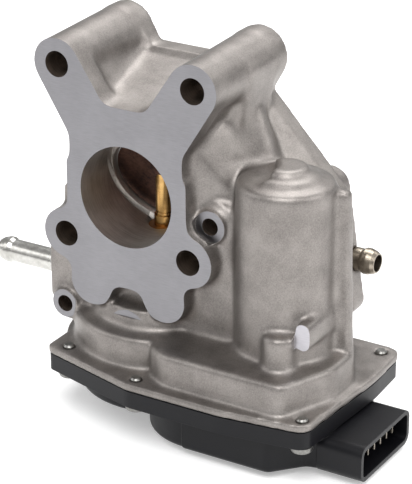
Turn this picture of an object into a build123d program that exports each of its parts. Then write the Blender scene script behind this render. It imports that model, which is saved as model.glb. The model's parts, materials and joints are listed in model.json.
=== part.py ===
from build123d import *
import os
from math import acos, atan2, cos, hypot, pi, radians, sin, tan

# EGR valve: a cast aluminium body with an oblique flap in its gas passage. An
# electric motor turns the flap through two gear stages under a moulded cover.
# Millimetres. The origin is the centre of the gas inlet on the front flange
# face, +X is to the right seen from the front, +Y runs back into the body and
# +Z is up. The flap shaft and all the gear axes are parallel to Z.

# Fits between pieces
RUN_GAP = 0.05          # radial running fit of shafts in bushes
SEAT_GAP = 0.1          # radial gap of a loose seat
FACE_GAP = 0.2          # axial gap beside a part that turns

# Gas passage
INLET_R = 17.5
INLET_MOUTH_R = 17.8
OUTLET_R = 19.0
OUTLET_MOUTH_R = 19.3
GAS_MOUTH_DEPTH = 8.0   # turned mouth at each end of the passage
BODY_DEPTH = 45.0       # front flange face to rear flange face
SEAT_TILT = 23.7        # degrees between the seat axis and the passage
SEAT_R = 17.2
SEAT_Y = 20.1           # centre of the front edge of the seat
SEAT_Z = -1.5
SEAT_LENGTH = 5.0
SEAT_CHAMFER = 2.2

# Front flange, with the four through bolts
FLANGE_T = 8.0
BOLT_HOLE_R = 4.5
UPPER_BOLT_X = 26.0
UPPER_BOLT_Z = 42.0
LOWER_BOLT_X = 24.0
LOWER_BOLT_Z = -18.0
LOBE_R = 9.0
REAR_LOBE_R = 10.0
WAIST_X = 21.9
CORE_X = 23.3
NOTCH_Z = 31.0
FOOT_X = 14.3
FOOT_Z = -33.9
FOOT_R = 8.2
BLEND_R = 4.0           # inside corners of the flange outline

# Rear flange
REAR_FLANGE_T = 8.0
REAR_NOTCH_Z = 40.0
REAR_EDGE_X = 59.8
REAR_CORNER_Z = 0.1
REAR_BOSS_LENGTH = 7.0

# Flap shaft and its supports
SHAFT_Y = 24.0
STEM_R = 3.0            # upper end, inside the flap
JOURNAL_R = 3.5
JOURNAL_TOP = -14.2
STEM_TOP = 4.0
STEM_GROOVE_Z = -12.8
SHAFT_SHOULDER = -62.5  # the sector gear is clamped below it
SHAFT_END = -69.4
BUSH_R = 5.5
BUSH_TOP = -18.0
BUSH_LENGTH = 16.0
SEAL_R = 7.2
SEAL_TOP = -35.0
SEAL_LENGTH = 5.0
BEARING_R = 9.5
BEARING_WIDTH = 6.0
BEARING_INNER_R = 5.2
BEARING_OUTER_R = 7.8
BALL_R = 1.6
BALL_COUNT = 7

# Flap
FLAP_GAP = 0.6          # flap to seat
FLAP_T = 2.4
FLAP_RECESS = 1.8       # front edge of the seat to the front of the closed flap
FLAP_HUB_R = 5.0
RING_GAP = 0.25         # ring to seat
RING_T = 1.2
RING_DEPTH = 1.6
FLAP_TRAVEL = 85.0      # degrees

# Gear case: drum around the shaft, raised hump at the motor, base plate
PARTING_Z = -61.5
PLATE_T = 3.0
DRUM_R = 31.5
DRUM_TOP = -47.5
CASE_WALL = 3.0
NECK_R = 26.0
NECK_TOP_R = 24.0
NECK_HEIGHT = 9.0
BOSS_R = 12.0           # bearing boss inside the drum
BOSS_END = -58.0
AXLE_SEAT = 2.0         # axle into the drum's ceiling
STOP_R = 2.0

# Motor
MOTOR_X = 52.0
MOTOR_Y = 15.5
MOTOR_HOUSING_R = 16.5
MOTOR_HOUSING_TOP = 12.5
MOTOR_STEP_R = 11.2
MOTOR_STEP_TOP = 14.6
MOTOR_CAP_R = 7.4
MOTOR_CAP_TOP = 17.2
CAN_R = 14.0
CAN_WALL = 1.0
CAN_TOP = 6.0
NOSE_R = 5.0
NOSE_LENGTH = 4.0
WASHER_T = 1.0
ROTOR_SHAFT_R = 1.6
MOTOR_BUSH_R = 4.0
MOTOR_PLATE_T = 2.5
MOTOR_SCREW_DX = 6.5
MOTOR_SCREW_DY = 15.5
MOTOR_SCREW_GRIP = 11.0
MOTOR_HEAD_R = 3.5
FIELD_WALL = 2.0        # arc magnets
FIELD_LOW = -41.0
FIELD_HIGH = 1.0
AIR_GAP = 0.5
SLOT_COUNT = 5
COMMUTATOR_R = 4.5
BRUSH_WIDTH = 3.5
BRUSH_HEIGHT = 3.0
BRUSH_LENGTH = 5.5
HOLDER_HEIGHT = 6.0

# Gears
PRESSURE_ANGLE = 25.0
BACKLASH = 0.16
FINE_MODULE = 0.8
COARSE_MODULE = 1.0
PINION_TEETH = 12
WHEEL_TEETH = 48
IDLER_TEETH = 12
SECTOR_TEETH = 50
SECTOR_TOP = -64.0
SECTOR_T = 6.0
WHEEL_T = 4.5
GEAR_CLEARANCE = 1.5    # between the sector and the wheel under it
FLANK_STEPS = 3
SPARE_ARC = 16.0        # degrees of teeth beyond the last one in use
AXLE_R = 2.5
IDLER_SLEEVE_R = 4.0
HUB_R = 10.5
NUT_R = 5.5
NUT_T = 3.0
MAGNET_R = 9.3
MAGNET_WALL = 2.0
MAGNET_T = 2.5

# Return spring and its guide
SPRING_TURNS = 4
SPRING_PITCH = 2.1
SPRING_MEAN_R = 14.8
SPRING_WIRE_R = 0.9
SLEEVE_R = 13.4
SLEEVE_LIP = 2.0

# Cover
RIM_T = 6.0
RIM_INSET = 0.4
COVER_WALL = 2.5
BOWL_GAP = 1.5          # tooth tips to the drum bowl
SENSOR_GAP = 1.5        # magnet to sensor board
WHEEL_GAP = 2.0         # wheel to the floor of the gear bowl
BOWL_EDGE_R = 1.8       # moulded edge round each bowl
GASKET_T = 0.8
GASKET_IN = 0.9
GASKET_OUT = 2.4
SCREW_R = 2.0
SCREW_HEAD_R = 3.75
SCREW_HEAD_T = 2.0
SCREW_PROUD = 0.8       # screw tip above the base plate
BOARD_LENGTH = 24.0
BOARD_WIDTH = 20.0
BOARD_T = 1.4
BOARD_X = -5.0

# Connector
CONNECTOR_ROOT_X = 74.0
CONNECTOR_FACE_X = 90.5
CONNECTOR_Y = 15.8
CONNECTOR_WIDTH = 35.0
CONNECTOR_TOP = -68.4
CONNECTOR_HEIGHT = 12.8
CONNECTOR_CORNER_R = 3.6
CONNECTOR_WALL = 1.6
PIN_COUNT = 6
PIN_PITCH = 4.4
PIN_WIDTH = 2.4
PIN_T = 0.7
KEY_COUNT = 2           # keys under the connector, near its mouth
KEY_Y = 9.0
KEY_PITCH = 10.5
KEY_SIZE = 1.6
MOUTH_DEPTH = 12.0
PIN_RECESS = 3.0        # terminals end this far inside the mouth

# Coolant nipples
PIPE_R = 4.0
PIPE_BORE_R = 3.0
BEAD_R = 4.6
LEFT_PIPE = (-37.0, 14.0, -37.0)
LEFT_PIPE_END_X = -61.5
RIGHT_PIPE = (57.0, 50.0, -27.2)
RIGHT_PIPE_END_X = 68.6
PIPE_SEAT = 8.0
BEAD_FROM_TIP = 5.0

# Blind threaded holes for brackets
RING_HOLE_R = 3.0
RING_HOLE_DEPTH = 8.0
RING_FACE_Y = 5.0
RING_LENGTH = 13.0
RING_BOSSES = [(-29.0, -47.5, 5.2), (29.5, -5.8, 5.5)]
PILLOW_R = 8.4          # cast metal round the right ring boss
PILLOW_Y = 7.2

# Metal between the gas tube, the motor housing and the rear flange
COLUMN_X = 20.3
COLUMN_Y = 21.5
COLUMN_R = 11.2
COLUMN_TOP = 23.0
RIDGE_FRONT_Y = 19.0    # ridge from the column up into the right bolt boss
GUSSET_FRONT_Y = 24.0   # gusset beside the motor housing's top
RIB_FRONT_Y = 20.0      # rib down the right of the motor housing
RIB_T = 4.5
RIB_TOP_X = 71.8
RIB_FOOT_X = 73.6
RIB_TOP = 9.5
PAD_X = 67.2            # milled pad beside the motor housing
PAD_Y = 0.0
PAD_Z = -34.5
PAD_WIDTH = 5.3
PAD_HEIGHT = 9.5
MOTOR_WEB = (20.0, 22.0, 52.0)
SCREW_BOSS_R = 5.4
SCREW_BOSS_TOP = -35.0

# Outlines of the case, seen from above: corners (x, y, corner radius)
HUMP_CORNERS = [
    (13.0, -7.5, 4.0),
    (21.0, -12.5, 12.0),
    (66.3, -12.5, 5.0),
    (74.8, 8.0, 12.0),
    (74.8, 22.0, 8.0),
    (62.3, 45.0, 3.0),
    (13.0, 45.0, 0.5),
]
PLATE_CORNERS = [
    (-29.0, -6.8, 3.0),
    (10.3, -17.4, 12.0),
    (45.0, -17.4, 30.0),
    (76.3, -13.4, 5.0),
    (79.0, 30.0, 60.0),
    (77.6, 52.6, 5.0),
    (46.0, 53.0, 12.0),
    (24.0, 59.5, 5.0),
    (-30.0, 56.5, 6.0),
    (-34.5, 30.0, 20.0),
    (-29.4, 8.0, 6.0),
]
BOWL_CORNERS = [
    (28.4, -12.3, 0.5),
    (61.5, -12.3, 4.0),
    (70.5, -2.0, 4.0),
    (76.5, -0.5, 3.0),
    (76.5, 38.0, 5.0),
    (28.4, 38.0, 4.0),
]
COVER_SCREWS = [
    (-21.8, -3.7),
    (11.2, -12.6),
    (72.6, -9.3),
    (72.3, 47.2),
    (44.5, 49.5),
    (21.0, 55.0),
    (-25.5, 51.0),
]

RISING = (Align.CENTER, Align.CENTER, Align.MIN)


def slab_front(sketch, y_front, y_back):
    """Extrude a front view (X across, Z up) between two depths."""
    plane = Plane(origin=(0, y_back, 0), x_dir=(1, 0, 0), z_dir=(0, -1, 0))
    return extrude(plane * sketch, amount=y_back - y_front)


def slab_top(sketch, z_low, z_high):
    """Extrude a top view (X across, Y back) between two heights."""
    return extrude(Pos(0, 0, z_low) * sketch, amount=z_high - z_low)


def rod(start, direction, radius, length):
    """Cylinder from a start point along a direction."""
    return Plane(origin=start, z_dir=direction) * Cylinder(radius, length, align=RISING)


def upright(x, y, radius, z_low, z_high):
    """Vertical cylinder between two heights."""
    return rod((x, y, z_low), (0, 0, 1), radius, z_high - z_low)


def tube(x, y, outer_r, inner_r, z_low, z_high):
    """Vertical tube between two heights."""
    return upright(x, y, outer_r, z_low, z_high) - upright(x, y, inner_r, z_low, z_high)


def outline(corners):
    """Closed outline from corners (x, y, corner radius)."""
    points = [(x, y) for x, y, r in corners]
    radii = [r for x, y, r in corners]
    return make_face(FilletPolyline(*points, radius=radii, close=True))


def disc(x, y, radius):
    """Flat disc."""
    return Pos(x, y) * Circle(radius)


def strap(x1, y1, r1, x2, y2, r2):
    """Flat strap wrapped round two discs."""
    return make_hull(disc(x1, y1, r1).edges() + disc(x2, y2, r2).edges())


def both_sides(sketch):
    """A sketch and its mirror image across the centre plane."""
    return sketch + mirror(sketch, about=Plane.YZ)


def grow(sketch, amount):
    """Offset an outline; its outside corners become round."""
    return offset(sketch, amount=amount, kind=Kind.ARC)


# Positions worked out from the sizes above
WHEEL_R = FINE_MODULE * WHEEL_TEETH / 2
PINION_R = FINE_MODULE * PINION_TEETH / 2
IDLER_R = COARSE_MODULE * IDLER_TEETH / 2
SECTOR_R = COARSE_MODULE * SECTOR_TEETH / 2


def idler_centre():
    """Idler axis: both centre distances, on the front side."""
    near = SECTOR_R + IDLER_R
    far = PINION_R + WHEEL_R
    dx = MOTOR_X
    dy = MOTOR_Y - SHAFT_Y
    span = hypot(dx, dy)
    along = (near ** 2 - far ** 2 + span ** 2) / (2 * span)
    aside = (near ** 2 - along ** 2) ** 0.5
    ux = dx / span
    uy = dy / span
    return along * ux + aside * uy, SHAFT_Y + along * uy - aside * ux


IDLER_X, IDLER_Y = idler_centre()
SEAT_AXIS = (0, cos(radians(SEAT_TILT)), sin(radians(SEAT_TILT)))
FLAP_R = SEAT_R - FLAP_GAP
RING_R = SEAT_R - RING_GAP
REAR_FRONT = BODY_DEPTH - REAR_FLANGE_T
PLATE_TOP = PARTING_Z + PLATE_T
CEILING = DRUM_TOP - CASE_WALL
RIM_END = PARTING_Z - RIM_T
SECTOR_END = SECTOR_TOP - SECTOR_T
WHEEL_TOP = SECTOR_END - GEAR_CLEARANCE
WHEEL_END = WHEEL_TOP - WHEEL_T
PINION_TOP = SECTOR_TOP + 0.5
AXLE_BOSS_END = PINION_TOP + 2 * FACE_GAP
BEARING_TOP = BOSS_END + BEARING_WIDTH
BEARING_MIDDLE = BOSS_END + BEARING_WIDTH / 2
BALL_CIRCLE_R = (BEARING_INNER_R + BEARING_OUTER_R) / 2
HUB_END = SECTOR_END - 0.6
NUT_TOP = SHAFT_END + NUT_T
SPRING_TOP = CEILING - 1.4
NOSE_TOP = CAN_TOP + NOSE_LENGTH
FIELD_INNER_R = CAN_R - CAN_WALL - FIELD_WALL
MOTOR_SEAT = CEILING - MOTOR_PLATE_T
BOWL_FLOOR = WHEEL_END - WHEEL_GAP
GEAR_BOWL_END = BOWL_FLOOR - COVER_WALL
DRUM_FLOOR = HUB_END - SENSOR_GAP - BOARD_T
DRUM_BOWL_END = DRUM_FLOOR - COVER_WALL
DRUM_BOWL_R = SECTOR_R + COARSE_MODULE + BOWL_GAP + COVER_WALL
CONNECTOR_Z = CONNECTOR_TOP - CONNECTOR_HEIGHT / 2
COARSE_MESH = atan2(IDLER_Y - SHAFT_Y, IDLER_X)
FINE_MESH = atan2(MOTOR_Y - IDLER_Y, MOTOR_X - IDLER_X)
SECTOR_FINISH = COARSE_MESH + radians(SPARE_ARC)
SECTOR_START = COARSE_MESH - radians(FLAP_TRAVEL + SPARE_ARC)
STOP_REACH = SECTOR_R - 2.0
STOP_TURN = SECTOR_START - (STOP_R + SEAT_GAP) / STOP_REACH
STOP_X = STOP_REACH * cos(STOP_TURN)
STOP_Y = SHAFT_Y + STOP_REACH * sin(STOP_TURN)


def seat_point(depth):
    """Point on the seat axis at a depth behind the seat's front edge."""
    return (0, SEAT_Y + depth * SEAT_AXIS[1], SEAT_Z + depth * SEAT_AXIS[2])


def seat_disc(depth, radius, length):
    """Cylinder on the tilted seat axis."""
    return rod(seat_point(depth), SEAT_AXIS, radius, length)


def export(name, shape):
    """Write one piece as its own file."""
    export_step(shape, "parts/" + name + ".step")


def flange_sketch():
    """Front flange: two raised arms, two bolt lobes and two feet."""
    arm = strap(UPPER_BOLT_X, UPPER_BOLT_Z, LOBE_R, 8.0, 14.0, 9.5)
    lobe = disc(LOWER_BOLT_X, LOWER_BOLT_Z, LOBE_R)
    foot = strap(FOOT_X, FOOT_Z, FOOT_R, 13.0, -18.0, FOOT_R)
    half = arm + lobe + foot
    core = Pos(0, -5.0) * Rectangle(2 * CORE_X, 28.0)
    waist = Pos(0, 14.0) * Rectangle(2 * WAIST_X, 16.0)
    notch = Pos(0, NOTCH_Z - 10.0) * Rectangle(16.0, 20.0)
    hips = Pos(0, -24.0) * Rectangle(30.0, 18.0)
    shape = both_sides(half) + core + waist + notch + hips
    return grow(grow(shape, BLEND_R), -BLEND_R)


def rear_flange_sketch():
    """Rear flange: two upper lobes and a stiffening plate out to the motor."""
    lobe = disc(UPPER_BOLT_X, UPPER_BOLT_Z, REAR_LOBE_R)
    shoulder = strap(UPPER_BOLT_X, UPPER_BOLT_Z, REAR_LOBE_R, 14.0, 20.0, REAR_LOBE_R)
    bridge = Pos(0, REAR_NOTCH_Z - 15.0) * Rectangle(2 * UPPER_BOLT_X, 30.0)
    web = outline([
        (-34.0, 10.0, 6.0),
        (-34.0, DRUM_TOP, 0.5),
        (REAR_EDGE_X, DRUM_TOP, 0.5),
        (REAR_EDGE_X, REAR_CORNER_Z, 4.0),
        (30.0, 31.5, 2.0),
        (-20.0, 30.0, 6.0),
    ])
    return both_sides(lobe + shoulder) + bridge + web


def hump_sketch():
    """Raised gear case between the drum and the motor, seen from above."""
    return outline(HUMP_CORNERS)


def plate_sketch():
    """Base plate that carries the cover, seen from above."""
    return outline(PLATE_CORNERS) + disc(0, SHAFT_Y, DRUM_R + CASE_WALL)


def gear_bowl_sketch():
    """Deep part of the cover under the wheel and the motor pinion."""
    return disc(IDLER_X, IDLER_Y, WHEEL_R + 3.8) + outline(BOWL_CORNERS)


def gas_passage():
    """Everything cut from the body along the gas passage."""
    block = 60.0
    ahead = seat_disc(-block, block, block)
    behind = seat_disc(SEAT_LENGTH, block, block)
    inlet = rod((0, -1, 0), (0, 1, 0), INLET_R, BODY_DEPTH) & ahead
    outlet = rod((0, 0, 0), (0, 1, 0), OUTLET_R, BODY_DEPTH + 1) & behind
    inlet += rod((0, -1, 0), (0, 1, 0), INLET_MOUTH_R, GAS_MOUTH_DEPTH + 1)
    outlet += rod((0, BODY_DEPTH + 1, 0), (0, -1, 0), OUTLET_MOUTH_R, GAS_MOUTH_DEPTH + 1)
    cone = Cone(SEAT_R + SEAT_CHAMFER, SEAT_R, SEAT_CHAMFER, align=RISING)
    chamfer_cut = Plane(origin=seat_point(-SEAT_CHAMFER), z_dir=SEAT_AXIS) * cone
    return inlet + chamfer_cut + seat_disc(-0.01, SEAT_R, SEAT_LENGTH + 0.02) + outlet


def round_top(solid, radius):
    """Round the upper edge of a standing solid."""
    return fillet(solid.edges().group_by(Axis.Z)[-1], radius)


def gas_tube():
    """Front flange, gas tube, bolt bosses and rear flange."""
    body = slab_front(flange_sketch(), 0, FLANGE_T)
    body += rod((0, 2, 0), (0, 1, 0), CORE_X - 0.3, BODY_DEPTH - 4)
    for side in (-1, 1):
        cone = Cone(LOBE_R - 0.1, REAR_LOBE_R - 0.2, REAR_FRONT, align=RISING)
        x = side * UPPER_BOLT_X
        body += Plane(origin=(x, 1, UPPER_BOLT_Z), z_dir=(0, 1, 0)) * cone
    web = strap(UPPER_BOLT_X, UPPER_BOLT_Z, 7.0, 10.0, 14.0, 9.0)
    body += slab_front(both_sides(web), FLANGE_T - 1, REAR_FRONT + 1)
    side_view = make_face(Polyline([
        (2.0, 12.0),
        (2.0, NOTCH_Z - 0.5),
        (REAR_FRONT + 1, REAR_NOTCH_Z - 1.5),
        (REAR_FRONT + 1, 12.0),
        (2.0, 12.0),
    ]))
    saddle = extrude(Plane.YZ * side_view, amount=14.0, both=True)
    body += saddle
    return body + slab_front(rear_flange_sketch(), REAR_FRONT, BODY_DEPTH)


def gusset():
    """Sloping metal from the rear flange's slanted edge down to the motor."""
    front = outline([
        (16.0, 27.0, 0.5),
        (30.5, 28.5, 3.0),
        (58.5, -1.0, 2.0),
        (58.5, DRUM_TOP - 1, 0.5),
        (16.0, DRUM_TOP - 1, 0.5),
    ])
    block = slab_front(front, GUSSET_FRONT_Y - 8.0, REAR_FRONT + 1)
    top_edge = Vector(31.5, REAR_FRONT, 29.0)
    along = Vector(27.5, 0, -28.0)
    down = Vector(34.0, GUSSET_FRONT_Y, 10.0) - top_edge
    ahead = down.cross(along)
    trim = Plane(origin=top_edge, z_dir=ahead) * Box(240.0, 240.0, 80.0, align=RISING)
    return block - trim


def motor_screw_places():
    """Two screws through the motor flange, one each side of its axis."""
    dx = MOTOR_SCREW_DX
    dy = MOTOR_SCREW_DY
    return [(MOTOR_X + dx, MOTOR_Y - dy), (MOTOR_X - dx, MOTOR_Y + dy)]


def motor_housing():
    """Stepped barrel over the motor with its rib, screw boss and milled pad."""
    shell = upright(MOTOR_X, MOTOR_Y, MOTOR_HOUSING_R, DRUM_TOP - 2, MOTOR_HOUSING_TOP)
    body = round_top(shell, 2.5)
    low = MOTOR_HOUSING_TOP - 2
    body += round_top(upright(MOTOR_X, MOTOR_Y, MOTOR_STEP_R, low, MOTOR_STEP_TOP), 1.2)
    body += round_top(upright(MOTOR_X, MOTOR_Y, MOTOR_CAP_R, low, MOTOR_CAP_TOP), 1.2)
    web = Box(*MOTOR_WEB, align=(Align.CENTER, Align.MIN, Align.MIN))
    body += Pos(MOTOR_X - 1.0, MOTOR_Y, DRUM_TOP - 1) * web
    rib = outline([
        (MOTOR_X, DRUM_TOP - 1, 0.5),
        (MOTOR_X, RIB_TOP, 0.5),
        (RIB_TOP_X, RIB_TOP, 1.5),
        (RIB_FOOT_X, DRUM_TOP - 1, 0.5),
    ])
    body += slab_front(rib, RIB_FRONT_Y, RIB_FRONT_Y + RIB_T)
    x, y = motor_screw_places()[0]
    body += round_top(upright(x, y, SCREW_BOSS_R, DRUM_TOP - 2, SCREW_BOSS_TOP), 1.5)
    pad = Pos(PAD_X, PAD_Z) * SlotOverall(PAD_HEIGHT, PAD_WIDTH, rotation=90)
    return body + slab_front(pad, PAD_Y, RIB_FRONT_Y + 1)


def gear_case():
    """Neck, drum, hump and base plate."""
    neck = Cone(NECK_R, NECK_TOP_R, NECK_HEIGHT, align=RISING)
    body = round_top(upright(0, SHAFT_Y, DRUM_R, PLATE_TOP - 1, DRUM_TOP), 1.5)
    body += Pos(0, SHAFT_Y, DRUM_TOP - 2) * neck
    body += round_top(slab_top(hump_sketch(), PLATE_TOP - 1, DRUM_TOP + 0.3), 2.0)
    return body + slab_top(plate_sketch(), PARTING_Z, PLATE_TOP)


def middle_block():
    """Metal under and beside the tube, with the coolant column at its left."""
    middle = outline([
        (-30.0, -2.0, 5.0),
        (-30.0, DRUM_TOP - 1, 0.5),
        (36.0, DRUM_TOP - 1, 0.5),
        (36.0, -10.0, 4.0),
        (20.0, 4.0, 4.0),
    ])
    body = slab_front(middle, FLANGE_T - 1, BODY_DEPTH - 1)
    side = upright(COLUMN_X, COLUMN_Y, COLUMN_R, DRUM_TOP - 1, COLUMN_TOP)
    body += round_top(side, 4.0)
    sketch = strap(32.0, 43.0, 4.0, 25.5, 18.0, 6.5)
    ridge = slab_front(sketch, RIDGE_FRONT_Y, REAR_FRONT + 1)
    body += fillet(ridge.edges().group_by(Axis.Y)[0], 3.0)
    x, y, z = LEFT_PIPE
    column = outline([
        (x, z + 11.0, 4.0),
        (x, z - 11.2, 3.0),
        (-8.0, z - 11.2, 0.5),
        (-8.0, z + 11.0, 0.5),
    ])
    body += slab_front(column, y - 6.5, y + 12.0)
    x, y, z = RIGHT_PIPE
    body += rod((x - 15.0, y, z), (1, 0, 0), PIPE_R + 2.6, 15.0)
    rear = strap(50.0, -2.6, 6.9, 58.0, -42.0, 5.2) + disc(45.0, -28.0, 10.5)
    body += slab_front(rear, BODY_DEPTH - 2, BODY_DEPTH + REAR_BOSS_LENGTH)
    for x, z, r in RING_BOSSES:
        body += rod((x, RING_FACE_Y, z), (0, 1, 0), r, RING_LENGTH)
    x, z, r = RING_BOSSES[1]
    pillow = rod((x, PILLOW_Y, z), (0, 1, 0), PILLOW_R, RING_LENGTH)
    return body + fillet(pillow.edges().group_by(Axis.Y)[0], 1.5)


def case_interior():
    """Space for the gears."""
    drum = upright(0, SHAFT_Y, DRUM_R - CASE_WALL, PARTING_Z - 1, CEILING)
    return drum + slab_top(grow(hump_sketch(), -CASE_WALL), PARTING_Z - 1, CEILING)


def shaft_bores():
    """Stepped bore for the bush, the seal and the bearing."""
    bush = upright(0, SHAFT_Y, BUSH_R, SEAL_TOP - 1, -10.0)
    seal = upright(0, SHAFT_Y, SEAL_R, BEARING_TOP - 1, SEAL_TOP)
    return bush + seal + upright(0, SHAFT_Y, BEARING_R, BOSS_END - 1, BEARING_TOP)


def motor_bore():
    """Bore for the motor, the pocket for its nose and its screw holes."""
    cut = upright(MOTOR_X, MOTOR_Y, CAN_R + SEAT_GAP, CEILING - 1, CAN_TOP + WASHER_T)
    cut += upright(MOTOR_X, MOTOR_Y, NOSE_R + 0.5, CAN_TOP, NOSE_TOP + 0.5)
    for x, y in motor_screw_places():
        cut += upright(x, y, SCREW_R, CEILING - 1, CEILING + MOTOR_SCREW_GRIP)
    return cut


def coolant_bores():
    """Seats for the two pressed nipples and the drillings behind them."""
    x, y, z = LEFT_PIPE
    cut = rod((x - 1, y, z), (1, 0, 0), PIPE_R, PIPE_SEAT + 1)
    cut += rod((x, y, z), (1, 0, 0), PIPE_BORE_R, 2.5 * PIPE_SEAT)
    x, y, z = RIGHT_PIPE
    cut += rod((x + 6, y, z), (-1, 0, 0), PIPE_R, PIPE_SEAT + 6)
    return cut + rod((x, y, z), (-1, 0, 0), PIPE_BORE_R, 2 * PIPE_SEAT)


def housing():
    """Cast body with every bore and hole."""
    body = gas_tube() + gusset() + middle_block() + gear_case() + motor_housing()
    body -= case_interior()
    body += upright(0, SHAFT_Y, BOSS_R, BOSS_END, CEILING + 1)
    body += upright(IDLER_X, IDLER_Y, 2 * AXLE_R, AXLE_BOSS_END, CEILING + 1)
    body -= upright(IDLER_X, IDLER_Y, AXLE_R, AXLE_BOSS_END - 1, CEILING + AXLE_SEAT)
    body -= upright(STOP_X, STOP_Y, STOP_R, CEILING - 1, CEILING + AXLE_SEAT)
    body -= gas_passage()
    body -= shaft_bores()
    body -= motor_bore()
    body -= coolant_bores()
    for side in (-1, 1):
        for x, z in ((UPPER_BOLT_X, UPPER_BOLT_Z), (LOWER_BOLT_X, LOWER_BOLT_Z)):
            body -= rod((side * x, -1, z), (0, 1, 0), BOLT_HOLE_R, BODY_DEPTH + REAR_BOSS_LENGTH + 2)
    for x, z, r in RING_BOSSES:
        body -= rod((x, RING_FACE_Y - 1, z), (0, 1, 0), RING_HOLE_R, RING_HOLE_DEPTH + 1)
    for x, y in COVER_SCREWS:
        body -= upright(x, y, SCREW_R, PARTING_Z - 1, PLATE_TOP + 1)
    return body


def nipple(root, end_x):
    """Tube with a hose bead near its open end, pressed in for the seat depth."""
    side = 1 if end_x > root[0] else -1
    length = abs(end_x - root[0])
    bead = length - BEAD_FROM_TIP
    profile = make_face(Polyline([
        (-PIPE_SEAT, PIPE_BORE_R),
        (length, PIPE_BORE_R),
        (length, PIPE_R - 0.6),
        (length - 1.2, PIPE_R + 0.1),
        (bead + 2.0, BEAD_R),
        (bead + 0.6, BEAD_R),
        (bead - 0.6, PIPE_R),
        (-PIPE_SEAT, PIPE_R),
        (-PIPE_SEAT, PIPE_BORE_R),
    ]))
    plane = Plane(origin=root, x_dir=(side, 0, 0), z_dir=(0, -side, 0))
    return plane * revolve(profile, axis=Axis.X)


def flap_disc():
    """Oblique round flap with a ring groove and a hub behind it."""
    middle = FLAP_RECESS + FLAP_T / 2
    hub = upright(0, SHAFT_Y, FLAP_HUB_R, -9.0, STEM_TOP + 2.0)
    flap = seat_disc(FLAP_RECESS, FLAP_R, FLAP_T)
    flap += hub & seat_disc(FLAP_RECESS + 0.5, 40.0, 40.0)
    groove = seat_disc(middle - RING_T / 2, FLAP_R + 1, RING_T)
    groove -= seat_disc(middle - RING_T / 2 - 1, RING_R - RING_DEPTH - SEAT_GAP, RING_T + 2)
    return flap - groove - upright(0, SHAFT_Y, STEM_R, JOURNAL_TOP - 6, STEM_TOP)


def flap_seal_ring():
    """Split piston ring in the groove of the flap."""
    start = FLAP_RECESS + FLAP_T / 2 - RING_T / 2 + RUN_GAP
    thick = RING_T - 2 * RUN_GAP
    ring = seat_disc(start, RING_R, thick) - seat_disc(start - 1, RING_R - RING_DEPTH, thick + 2)
    x, y, z = seat_point(start)
    return ring - Pos(x, y, z + RING_R) * Box(1.0, 30.0, 12.0)


def flap_shaft():
    """Vertical shaft: stem in the flap, journal, shoulder and threaded end."""
    shaft = upright(0, SHAFT_Y, STEM_R, JOURNAL_TOP, STEM_TOP)
    low = STEM_GROOVE_Z - 0.35
    shaft -= tube(0, SHAFT_Y, STEM_R + 1, STEM_R - 0.3, low, low + 0.7)
    shaft += upright(0, SHAFT_Y, JOURNAL_R, SHAFT_SHOULDER, JOURNAL_TOP)
    return shaft + upright(0, SHAFT_Y, STEM_R, SHAFT_END, SHAFT_SHOULDER)


def shaft_seal():
    """Lip seal between the bush and the bearing."""
    low = SEAL_TOP - SEAL_LENGTH
    shell = tube(0, SHAFT_Y, SEAL_R, SEAL_R - 1.2, low, SEAL_TOP)
    web = tube(0, SHAFT_Y, SEAL_R - 0.6, JOURNAL_R + 1.2, SEAL_TOP - 1.2, SEAL_TOP)
    return shell + web + tube(0, SHAFT_Y, JOURNAL_R + 1.4, JOURNAL_R + RUN_GAP, low + 1, SEAL_TOP)


def bearing_race(outer_r, inner_r):
    """One bearing ring with its ball groove."""
    ring = tube(0, SHAFT_Y, outer_r, inner_r, BOSS_END, BEARING_TOP)
    return ring - Pos(0, SHAFT_Y, BEARING_MIDDLE) * Torus(BALL_CIRCLE_R, BALL_R + RUN_GAP)


def bearing_balls():
    """Balls spaced evenly between the two rings."""
    balls = Part()
    for index in range(BALL_COUNT):
        turn = 2 * pi * index / BALL_COUNT
        x = BALL_CIRCLE_R * cos(turn)
        y = SHAFT_Y + BALL_CIRCLE_R * sin(turn)
        balls += Pos(x, y, BEARING_MIDDLE) * Sphere(BALL_R)
    return balls


def involute(radius, base_r):
    """Involute angle at a radius outside the base circle."""
    pressure = acos(min(1.0, base_r / radius))
    return tan(pressure) - pressure


def gear_sketch(teeth, module, phase):
    """Spur gear with involute flanks; phase is the angle of its first tooth."""
    pitch_r = module * teeth / 2
    base_r = pitch_r * cos(radians(PRESSURE_ANGLE))
    tip_r = pitch_r + module
    root_r = pitch_r - 1.25 * module
    half = (pi * module - BACKLASH) / (4 * pitch_r)
    start_r = max(base_r, root_r)
    flank = []
    for step in range(FLANK_STEPS + 1):
        r = start_r + (tip_r - start_r) * step / FLANK_STEPS
        flank.append((r, half + involute(pitch_r, base_r) - involute(r, base_r)))
    if root_r < base_r:
        flank.insert(0, (root_r, flank[0][1]))
    points = []
    for tooth in range(teeth):
        centre = phase + 2 * pi * tooth / teeth
        points += [(r * cos(centre - a), r * sin(centre - a)) for r, a in flank]
        points += [(r * cos(centre + a), r * sin(centre + a)) for r, a in reversed(flank)]
    return make_face(Polyline(*points, close=True))


def wedge(start, end, radius):
    """Slice of a disc between two angles."""
    steps = 8
    rim = [start + (end - start) * i / steps for i in range(steps + 1)]
    points = [(0, 0)] + [(radius * cos(a), radius * sin(a)) for a in rim]
    return make_face(Polyline(*points, close=True))


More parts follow.
